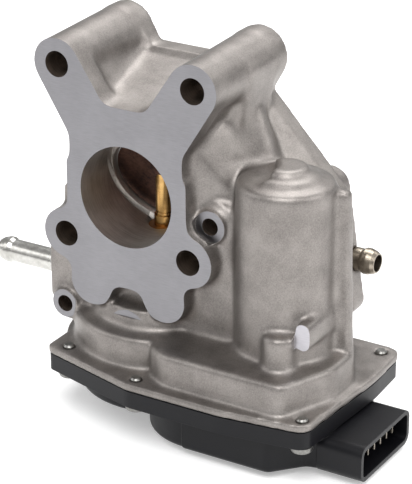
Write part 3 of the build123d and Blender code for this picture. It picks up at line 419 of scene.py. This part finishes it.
@dataclass
class CastBody:
    """The casting: rounded as cast, then cut by the machining tools.

    The fills are soft webs of cast metal, each a skin round balls of x, y, z and radius in
    millimetres. They run from the flange to the motor's barrel under the right upper boss.
    """

    workshop: Workshop
    voxel: float = 0.7 * MM
    # Rounding passes for the body, and the fewer that keep the thin base plate crisp.
    passes: int = 36
    plate_passes: int = 8
    plate_level: float = -56.0 * MM
    passes_per_normal: int = 4
    step_share: float = 0.5
    convex_share: float = 0.12
    # Metal left on the milled faces, and how deep it is rooted in them.
    stock: float = 2.0 * MM
    stock_root: float = 0.5 * MM
    inlet_radius: float = 17.5 * MM
    inlet_mouth: float = 17.8 * MM
    outlet_radius: float = 19.0 * MM
    outlet_mouth: float = 19.3 * MM
    mouth_depth: float = 8.0 * MM
    taper: float = 7.0 * MM
    depth: float = 45.0 * MM
    bolt_radius: float = 4.5 * MM
    # Bolt centres as x and z in millimetres.
    bolts: tuple = ((26.0, 42.0), (-26.0, 42.0), (24.0, -18.0), (-24.0, -18.0))
    ring_bore: float = 3.0 * MM
    ring_face: float = 5.0 * MM
    # Ring bosses as x, z and the spot face's radius in millimetres.
    rings: tuple = ((-29.0, -47.5, 5.2), (29.5, -5.8, 5.5))
    spot_depth: float = 2.5 * MM
    tap_depth: float = 10.5 * MM
    # Depth that no wall of a tapped hole reaches.
    tap_end: float = 14.0 * MM
    pad_face: float = 0.0
    pad_low: tuple = (0.0642, -0.0040, -0.0396)
    pad_high: tuple = (0.0702, 0.0, -0.0294)
    waist_fill: tuple = (
        (19.2, 6.0, 15.0, 2.7), (19.6, 6.0, -1.0, 2.7), (25.6, 13.6, 9.0, 6.4),
        (24.5, 16.0, -3.0, 7.0), (20.6, 6.5, 21.5, 2.5), (26.8, 22.8, 21.0, 6.0),
    )
    column_fill: tuple = (
        (25.6, 13.6, 9.0, 6.5), (25.0, 16.0, -3.0, 7.2), (33.0, 18.0, 1.0, 6.5),
        (33.0, 26.0, 12.0, 5.5), (26.8, 22.8, 21.0, 6.0),
    )
    web_fill: tuple = (
        (26.8, 22.8, 21.0, 6.0), (33.0, 26.0, 12.0, 5.5), (31.5, 28.5, 27.0, 4.5),
        (37.0, 28.0, 8.0, 6.5),
    )
    ridge_fill: tuple = (
        (26.5, 25.0, 18.0, 5.5), (30.5, 24.0, 30.0, 4.0), (27.0, 28.0, 30.0, 4.0),
    )
    boss_fill: tuple = ((30.5, 24.0, 30.0, 4.0), (33.0, 24.0, 43.0, 2.6))
    # Core that hollows the webs where they meet the barrel's top.
    step_core: tuple = (40.5, 11.0, 12.8)
    step_core_radius: float = 9.5 * MM
    step_core_length: float = 20.0 * MM
    mill_low: tuple = (-0.040, -0.010, -0.0435)
    mill_high: tuple = (0.036, 0.0, 0.060)
    # How far a tool starts outside the metal, how long the long ones are, and a hair's overlap.
    run_in: float = 20.0 * MM
    drill_length: float = 90.0 * MM
    bore_length: float = 60.0 * MM
    hair: float = 0.01 * MM
    # How near a face has to lie to a cut to count as made by it.
    near: float = 0.15 * MM
    # Depth behind the front face where the bore's wall starts.
    lip: float = 0.1 * MM
    sharp_angle: float = math.radians(38)
    seat: SeatGeometry = field(default_factory=SeatGeometry)

    def build(self) -> bpy.types.Object:
        """Make the casting and let it stand for the CAD housing.

        Returns:
            The finished piece.
        """
        piece = self.raw_casting()
        self.round_corners(piece)
        self.machine(piece)
        self.dress(piece)
        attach(piece, "valve_body")
        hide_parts("housing")
        LOG.info("cast_body: %d faces", len(piece.data.polygons))
        return piece

    def raw_casting(self) -> bpy.types.Object:
        """Copy the CAD solid, add stock on its milled faces and webs, and remesh it."""
        shape = bmesh.new()
        shape.from_mesh(self.workshop.nodes["housing"].data)
        bmesh.ops.remove_doubles(shape, verts=shape.verts, dist=1e-6)
        levels = {0.0, self.ring_face, self.pad_face}
        front = [face for face in shape.faces if self.needs_stock(face, levels)]
        copy = bmesh.ops.duplicate(shape, geom=front)["geom"]
        faces = [g for g in copy if isinstance(g, bmesh.types.BMFace)]
        corners = {v for face in faces for v in face.verts}
        for corner in corners:
            corner.co.y += self.stock_root
        grown = bmesh.ops.extrude_face_region(shape, geom=faces, use_keep_orig=True)["geom"]
        for vertex in (g for g in grown if isinstance(g, bmesh.types.BMVert)):
            vertex.co.y -= self.stock + self.stock_root
        bmesh.ops.recalc_face_normals(shape, faces=shape.faces)
        fills = (self.waist_fill, self.column_fill, self.web_fill, self.ridge_fill, self.boss_fill)
        for balls in fills:
            add_wrap(shape, balls)
        piece = new_piece("cast_body", shape)
        self.remesh(piece)
        start = Vector(self.step_core) * MM
        cut(piece, rod("core", start, UP, self.step_core_radius, self.step_core_length))
        self.remesh(piece)
        return piece

    def remesh(self, piece: bpy.types.Object) -> None:
        """Melt overlapping solids into one skin of even small faces."""
        step = piece.modifiers.new("skin", "REMESH")
        step.mode = "VOXEL"
        step.voxel_size = self.voxel
        apply_modifiers(piece)

    def needs_stock(self, face: bmesh.types.BMFace, levels: set[float]) -> bool:
        """Tell whether a face is milled, so that its raw casting is thicker.

        Args:
            face: A face of the CAD solid.
            levels: Depths of the milled faces behind the front one.

        Returns:
            True for a face of the front flange, a ring boss or the pad.
        """
        depth = face.calc_center_median().y
        return face.normal.y < -0.999 and any(abs(depth - level) < 1e-6 for level in levels)

    def round_corners(self, piece: bpy.types.Object) -> None:
        """Fill inside corners with wide radii and break outside edges a little.

        Args:
            piece: The remeshed casting, changed in place.
        """
        mesh = piece.data
        place = read_points(mesh)
        edges = np.empty(len(mesh.edges) * 2, np.int64)
        mesh.edges.foreach_get("vertices", edges)
        start, end = edges[0::2], edges[1::2]
        count = len(place)
        degree = np.bincount(start, minlength=count) + np.bincount(end, minlength=count)
        normal = np.empty(count * 3, np.float32)
        limit = np.where(place[:, 2] < self.plate_level, self.plate_passes, self.passes)
        for step in range(self.passes):
            if step % self.passes_per_normal == 0:
                write_points(mesh, place)
                mesh.update()
                mesh.vertices.foreach_get("normal", normal)
            total = np.zeros_like(place)
            for axis in range(3):
                total[:, axis] += np.bincount(start, place[end, axis], count)
                total[:, axis] += np.bincount(end, place[start, axis], count)
            drift = total / degree[:, None] - place
            outward = np.einsum("ij,ij->i", drift, normal.reshape(-1, 3))
            share = self.step_share * np.where(outward > 0.0, 1.0, self.convex_share)
            along = drift - outward[:, None] * normal.reshape(-1, 3)
            shift = self.step_share * along + (share * outward)[:, None] * normal.reshape(-1, 3)
            place += np.where(step < limit, 1.0, 0.0)[:, None] * shift
        write_points(mesh, place)
        mesh.update()

    def machine(self, piece: bpy.types.Object) -> None:
        """Cut the front face, the gas passage and the holes to size.

        Args:
            piece: The rounded casting, changed in place.
        """
        tools = [
            block("face_mill", self.mill_low, self.mill_high),
            block("pad_mill", self.pad_low, self.pad_high),
        ]
        for x, z in self.bolts:
            start = Vector((x * MM, -self.run_in, z * MM))
            tools.append(rod("drill", start, INWARD, self.bolt_radius, self.drill_length))
        for x, z, radius in self.rings:
            start = Vector((x * MM, self.ring_face - self.spot_depth, z * MM))
            tools.append(rod("spot_face", start, INWARD, radius * MM, self.spot_depth))
            tools.append(rod("tap", start, INWARD, self.ring_bore, self.tap_depth))
        tools += self.passage_tools()
        for tool in tools:
            cut(piece, tool)

    def passage_tools(self) -> list[bpy.types.Object]:
        """Boring tools for the inlet, the seat and the outlet.

        Returns:
            Closed meshes to subtract.
        """
        seat = self.seat
        axis = seat.axis()
        reach = self.bore_length
        ahead = rod("ahead", seat.origin - axis * reach, axis, reach, reach)
        inlet = rod("inlet", OUTWARD * self.run_in, INWARD, self.inlet_radius, reach)
        cut(inlet, ahead, operation="INTERSECT")
        behind = rod("behind", seat.origin + axis * seat.length, axis, reach, reach)
        outlet = rod("outlet", Vector((0, 0, 0)), INWARD, self.outlet_radius, reach)
        cut(outlet, behind, operation="INTERSECT")
        land = rod(
            "land", seat.origin - axis * self.hair, axis, seat.radius,
            seat.length + 2.0 * self.hair,
        )
        start = seat.origin - axis * seat.chamfer
        cone = rod(
            "cone", start, axis, seat.radius + seat.chamfer, seat.chamfer, end_radius=seat.radius,
        )
        tools = [inlet, outlet, land, cone]
        tools += self.mouth(0.0, INWARD, self.inlet_mouth, self.inlet_radius)
        tools += self.mouth(self.depth, OUTWARD, self.outlet_mouth, self.outlet_radius)
        return tools

    def mouth(
        self, face: float, inward: Vector, radius: float, bore: float
    ) -> list[bpy.types.Object]:
        """Tools for a turned mouth that runs out softly into its bore.

        Args:
            face: Depth of the flange face.
            inward: Unit vector from the face into the body.
            radius: Radius of the mouth.
            bore: Radius of the bore behind it.

        Returns:
            A cylinder and the cone that follows it.
        """
        start = Vector((0, face, 0)) - inward * self.run_in
        end = Vector((0, face, 0)) + inward * (self.mouth_depth - self.hair)
        return [
            rod("mouth", start, inward, radius, self.mouth_depth + self.run_in),
            rod("runout", end, inward, radius, self.taper, end_radius=bore - 2.0 * self.hair),
        ]

    def dress(self, piece: bpy.types.Object) -> None:
        """Give every face the finish of the tool that made it, with a pale finish in the gas
        passage as painted light, a darker one on the hole walls as painted shade and a paler one
        on the pad face as a painted highlight.

        Args:
            piece: The machined casting.
        """
        mesh = piece.data
        finishes = (
            CAST_ALUMINIUM, MILLED_ALUMINIUM, PALE_BORE_PAINTED_LIGHT, HOLE_PAINTED_SHADE, PAD_PAINTED_HIGHLIGHT,
        )
        mesh.materials.clear()
        for finish in finishes:
            mesh.materials.append(self.workshop.material(finish))
        count = len(mesh.polygons)
        centre = np.empty(count * 3, np.float32)
        normal = np.empty(count * 3, np.float32)
        mesh.polygons.foreach_get("center", centre)
        mesh.polygons.foreach_get("normal", normal)
        centre = centre.reshape(-1, 3).astype(float)
        normal = normal.reshape(-1, 3)
        x, y, z = centre.T
        near = self.near
        milled = (np.abs(y) < near) & (normal[:, 1] < -0.99)
        milled |= (np.abs(y - self.depth) < near) & (normal[:, 1] > 0.99)
        sideways = np.abs(normal[:, 1]) < 0.5
        # The walls of the bolt and tapped holes get the darker, browner finish, which is painted
        # shade.
        hole_shade_walls = np.zeros(count, bool)
        for cx, cz in self.bolts:
            wall = np.abs(np.hypot(x - cx * MM, z - cz * MM) - self.bolt_radius) < near
            hole_shade_walls |= wall & sideways
        for cx, cz, radius in self.rings:
            away = np.hypot(x - cx * MM, z - cz * MM)
            hole_shade_walls |= (away < self.ring_bore + near) & (y < self.tap_end) & sideways
            face = (away < radius * MM + near) & (np.abs(y - self.ring_face) < near)
            milled |= face & (normal[:, 1] < -0.9)
        # The walls of the gas passage get the pale finish, which is painted light.
        away = np.hypot(x, z)
        inside = (away < self.outlet_mouth + near) & (y > self.lip) & (y < self.depth - near)
        bored = inside & (normal[:, 0] * x + normal[:, 2] * z < 0)
        low, high = self.pad_low, self.pad_high
        pad = (x > low[0]) & (x < high[0]) & (z > low[2]) & (z < high[2])
        # The pad face gets the paler copy of the milled finish, which is a painted highlight.
        pad_highlight_face = pad & (np.abs(y - self.pad_face) < near) & (normal[:, 1] < -0.9)
        index = np.select((pad_highlight_face, hole_shade_walls, bored, milled), (4, 3, 2, 1), 0).astype(np.int32)
        mesh.polygons.foreach_set("material_index", index)
        mesh.shade_smooth()
        mesh.set_sharp_from_angle(angle=self.sharp_angle)


def read_points(mesh: bpy.types.Mesh) -> np.ndarray:
    """Return a mesh's points as rows of three."""
    flat = np.empty(len(mesh.vertices) * 3, np.float64)
    mesh.vertices.foreach_get("co", flat)
    return flat.reshape(-1, 3)


def write_points(mesh: bpy.types.Mesh, place: np.ndarray) -> None:
    """Put rows of three back into a mesh."""
    mesh.vertices.foreach_set("co", place.astype(np.float32).ravel())


def apply_modifiers(piece: bpy.types.Object) -> None:
    """Turn a piece's modifiers into its own mesh.

    Args:
        piece: The object, changed in place.
    """
    graph = bpy.context.evaluated_depsgraph_get()
    mesh = bpy.data.meshes.new_from_object(piece.evaluated_get(graph))
    old = piece.data
    mesh.name = piece.name
    piece.modifiers.clear()
    piece.data = mesh
    bpy.data.meshes.remove(old)


def cut(piece: bpy.types.Object, tool: bpy.types.Object, operation: str = "DIFFERENCE") -> None:
    """Apply one boolean and throw the tool away.

    Args:
        piece: The object, changed in place.
        tool: A closed mesh.
        operation: DIFFERENCE or INTERSECT.
    """
    step = piece.modifiers.new("cut", "BOOLEAN")
    step.solver = "MANIFOLD"
    step.operation = operation
    step.object = tool
    bpy.context.view_layer.update()
    apply_modifiers(piece)
    mesh = tool.data
    bpy.data.objects.remove(tool)
    bpy.data.meshes.remove(mesh)


def new_piece(name: str, shape: bmesh.types.BMesh) -> bpy.types.Object:
    """Turn a bmesh into a linked object.

    Args:
        name: The object's name.
        shape: The bmesh, freed here.

    Returns:
        The object.
    """
    mesh = bpy.data.meshes.new(name)
    shape.to_mesh(mesh)
    shape.free()
    piece = bpy.data.objects.new(name, mesh)
    bpy.context.scene.collection.objects.link(piece)
    return piece


def rod(
    name: str,
    start: Vector,
    direction: Vector,
    radius: float,
    length: float,
    end_radius: float | None = None,
    sides: int = 96,
) -> bpy.types.Object:
    """Closed cylinder or cone from a start point along a direction.

    Args:
        name: The object's name.
        start: Centre of the first face.
        direction: Unit vector along the axis.
        radius: Radius at the start.
        length: Length along the axis.
        end_radius: Radius at the end, the same as the start if left out.
        sides: Number of facets.

    Returns:
        The object.
    """
    shape = bmesh.new()
    turn = direction.to_track_quat("Z", "Y").to_matrix().to_4x4()
    matrix = Matrix.Translation(start + direction * (length / 2)) @ turn
    bmesh.ops.create_cone(
        shape, cap_ends=True, segments=sides, radius1=radius,
        radius2=radius if end_radius is None else end_radius, depth=length, matrix=matrix,
    )
    return new_piece(name, shape)


def block(name: str, low: Iterable[float], high: Iterable[float]) -> bpy.types.Object:
    """Closed box between two corners."""
    low = Vector(low)
    high = Vector(high)
    shape = bmesh.new()
    size = high - low
    matrix = Matrix.Translation((low + high) / 2) @ Matrix.Diagonal((*size, 1.0))
    bmesh.ops.create_cube(shape, size=1.0, matrix=matrix)
    return new_piece(name, shape)


def add_wrap(shape: bmesh.types.BMesh, balls: tuple) -> None:
    """Add a closed skin stretched round a few balls.

    Args:
        shape: The shape, added to in place.
        balls: Centre x, y, z and radius of each ball in millimetres.
    """
    ball = bmesh.new()
    bmesh.ops.create_icosphere(ball, subdivisions=3, radius=1.0)
    wrap = bmesh.new()
    for x, y, z, radius in balls:
        for corner in ball.verts:
            wrap.verts.new((Vector((x, y, z)) + corner.co * radius) * MM)
    ball.free()
    hull = bmesh.ops.convex_hull(wrap, input=wrap.verts)
    inner = [g for g in hull["geom_interior"] if isinstance(g, bmesh.types.BMVert)]
    bmesh.ops.delete(wrap, geom=inner, context="VERTS")
    mesh = bpy.data.meshes.new("wrap")
    wrap.to_mesh(mesh)
    wrap.free()
    shape.from_mesh(mesh)
    bpy.data.meshes.remove(mesh)


@dataclass
class CoolantNipples:
    """Two hose nipples pressed into the casting."""

    workshop: Workshop

    def build(self) -> None:
        """Dress both tubes."""
        self.workshop.dress("coolant_nipple_left", ZINC_STEEL)
        self.workshop.dress("coolant_nipple_right", WARM_STEEL)


@dataclass
class FlapUnit:
    """The flap, its shaft and what carries the shaft."""

    workshop: Workshop

    def build(self) -> None:
        """Dress the moving pieces and their supports."""
        self.workshop.dress("flap_disc", TEMPERED_STEEL)
        self.workshop.dress("flap_seal_ring", TEMPERED_STEEL)
        self.workshop.dress("flap_shaft", STRAW_STEEL)
        self.workshop.dress("shaft_bush", SINTERED_BRONZE)
        self.workshop.dress("shaft_seal", MOULDED_RUBBER)
        for node in ("bearing_outer_ring", "bearing_inner_ring", "bearing_balls", "stop_pin"):
            self.workshop.dress(node, GROUND_STEEL)
        self.workshop.dress("shaft_nut", ZINC_STEEL)
        self.workshop.dress("return_spring", SPRING_STEEL)
        self.workshop.dress("spring_sleeve", MOULDED_ACETAL)


@dataclass
class GearTrain:
    """Sector, intermediate gear and motor pinion."""

    workshop: Workshop

    def build(self) -> None:
        """Dress the gears."""
        self.workshop.dress("sector_gear", MOULDED_ACETAL)
        self.workshop.dress("intermediate_wheel", MOULDED_ACETAL)
        self.workshop.dress("intermediate_pinion", GROUND_STEEL)
        self.workshop.dress("intermediate_axle", GROUND_STEEL)
        self.workshop.dress("motor_pinion", CUT_BRASS)
        self.workshop.dress("sensor_magnet", SINTERED_FERRITE)


@dataclass
class MotorUnit:
    """Brushed motor in its bore."""

    workshop: Workshop

    def build(self) -> None:
        """Dress the motor's pieces."""
        for node in ("motor_can", "motor_flange", "motor_screws"):
            self.workshop.dress(node, ZINC_STEEL)
        self.workshop.dress("motor_magnets", SINTERED_FERRITE)
        self.workshop.dress("motor_armature", STACKED_SHEET)
        self.workshop.dress("motor_commutator", BARE_COPPER)
        self.workshop.dress("motor_shaft", GROUND_STEEL)
        self.workshop.dress("motor_bushes", SINTERED_BRONZE)
        self.workshop.dress("brush_holder", GLASS_FILLED_PBT)
        self.workshop.dress("motor_brushes", PRESSED_CARBON)
        self.workshop.dress("motor_terminals", TINNED_COPPER)
        self.workshop.dress("motor_spring_washer", SPRING_STEEL)


@dataclass
class CoverUnit:
    """Moulded cover with its connector, seal, board and screws."""

    workshop: Workshop

    def build(self) -> None:
        """Dress the cover's pieces."""
        self.workshop.dress("cover", GLASS_FILLED_PBT)
        self.workshop.dress("cover_gasket", MOULDED_RUBBER)
        self.workshop.dress("connector_terminals", TINNED_COPPER)
        self.workshop.dress("sensor_board", SOLDER_RESIST)
        self.workshop.dress("cover_screws", ZINC_FLAKE)


@dataclass
class Studio:
    """Pale floor, soft lamps and the camera.

    Angles are the camera's own, the lens and the sensor are in millimetres, the rest in metres.
    """

    camera_place: Vector = field(default_factory=lambda: Vector((369.46, -560.0, 280.69)) * MM)
    azimuth: float = math.radians(31.146)
    elevation: float = math.radians(23.868)
    roll: float = math.radians(-0.133)
    lens: float = 163.9
    sensor: float = 36.0
    room_light: float = 0.42
    floor_glow: float = 0.34
    floor_gap: float = 0.2 * MM
    floor_reach: float = 3.0
    floor_depth: float = 0.02
    lamp_target: Vector = field(default_factory=lambda: Vector((0.02, 0.02, -0.01)))
    clip_near: float = 0.05
    clip_far: float = 20.0

    def build(self) -> None:
        """Set the background, the floor, the lamps and the camera."""
        self.background()
        self.floor()
        self.lamps()
        self.camera()

    def background(self) -> None:
        """Even pale light from all around."""
        world = bpy.data.worlds.new("studio")
        world.use_nodes = True
        bpy.context.scene.world = world
        tree = world.node_tree
        tree.nodes.clear()
        light = add_node(
            tree, "ShaderNodeBackground",
            values={"Color": (1, 1, 1, 1), "Strength": self.room_light},
        )
        add_node(tree, "ShaderNodeOutputWorld", links={"Surface": light.outputs[0]})

    def floor(self) -> None:
        """White floor under the lowest point, which keeps the object's shadow."""
        low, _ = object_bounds()
        top = low[2] - self.floor_gap
        reach = self.floor_reach
        bottom = top - self.floor_depth
        floor = block("floor", (-reach, -reach, bottom), (reach, reach, top))
        material = bpy.data.materials.new("white_floor")
        material.use_nodes = True
        tree = material.node_tree
        tree.nodes.clear()
        rays = add_node(tree, "ShaderNodeLightPath")
        mirrored = add_node(
            tree, "ShaderNodeMath", operation="MAXIMUM",
            links={0: rays.outputs["Is Glossy Ray"], 1: rays.outputs["Is Transmission Ray"]},
        )
        seen = add_node(
            tree, "ShaderNodeMath", operation="MAXIMUM",
            links={0: rays.outputs["Is Camera Ray"], 1: mirrored.outputs[0]},
        )
        paint = add_node(
            tree, "ShaderNodeBsdfDiffuse", values={"Color": hex_to_linear("#E6E6E6")},
        )
        glow = add_node(
            tree, "ShaderNodeEmission",
            values={"Color": (1, 1, 1, 1), "Strength": self.floor_glow},
        )
        added = add_node(
            tree, "ShaderNodeAddShader", links={0: paint.outputs[0], 1: glow.outputs[0]},
        )
        mixed = add_node(
            tree, "ShaderNodeMixShader",
            links={0: seen.outputs[0], 1: paint.outputs[0], 2: added.outputs[0]},
        )
        add_node(tree, "ShaderNodeOutputMaterial", links={"Surface": mixed.outputs[0]})
        floor.data.materials.append(material)
        floor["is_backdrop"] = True

    def lamps(self) -> None:
        """A key from above the camera, a top light, a weak light on either side and a rim."""
        self.soft_box("key", Vector((0.30, -0.60, 0.95)), 0.7, 11.0)
        self.soft_box("top", Vector((-0.15, 0.50, 0.90)), 0.6, 7.0)
        self.soft_box("side", Vector((-0.75, -0.45, 0.45)), 0.6, 2.5)
        self.soft_box("right", Vector((0.82, 0.12, 0.46)), 0.6, 3.8)
        self.soft_box("rim", Vector((0.35, 0.80, 0.60)), 0.5, 1.8)

    def soft_box(self, name: str, place: Vector, size: float, watts: float) -> None:
        """Square lamp that points at the object.

        Args:
            name: The lamp's name.
            place: Its centre in metres.
            size: Edge length in metres.
            watts: Its power.
        """
        light = bpy.data.lights.new(name, "AREA")
        light.shape = "SQUARE"
        light.size = size
        light.energy = watts
        lamp = bpy.data.objects.new(name, light)
        turn = (self.lamp_target - place).to_track_quat("-Z", "Y").to_matrix().to_4x4()
        lamp.matrix_world = Matrix.Translation(place) @ turn
        bpy.context.scene.collection.objects.link(lamp)

    def camera(self) -> None:
        """Camera at the photograph's place and angle."""
        data = bpy.data.cameras.new("camera")
        data.lens = self.lens
        data.sensor_width = self.sensor
        data.clip_start = self.clip_near
        data.clip_end = self.clip_far
        view = bpy.data.objects.new("camera", data)
        turn = (
            Matrix.Rotation(self.azimuth, 4, "Z")
            @ Matrix.Rotation(math.pi / 2 - self.elevation, 4, "X")
            @ Matrix.Rotation(self.roll, 4, "Z")
        )
        view.matrix_world = Matrix.Translation(self.camera_place) @ turn
        bpy.context.scene.collection.objects.link(view)
        bpy.context.scene.camera = view


def main() -> None:
    """Build every sub-assembly in order."""
    logging.basicConfig(level=logging.INFO, format="%(message)s")
    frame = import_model()
    workshop = Workshop(frame["nodes"])
    bpy.context.scene.view_settings.view_transform = "Standard"
    CastBody(workshop).build()
    CoolantNipples(workshop).build()
    FlapUnit(workshop).build()
    GearTrain(workshop).build()
    MotorUnit(workshop).build()
    CoverUnit(workshop).build()
    Studio().build()


if __name__ == "__main__":
    main()
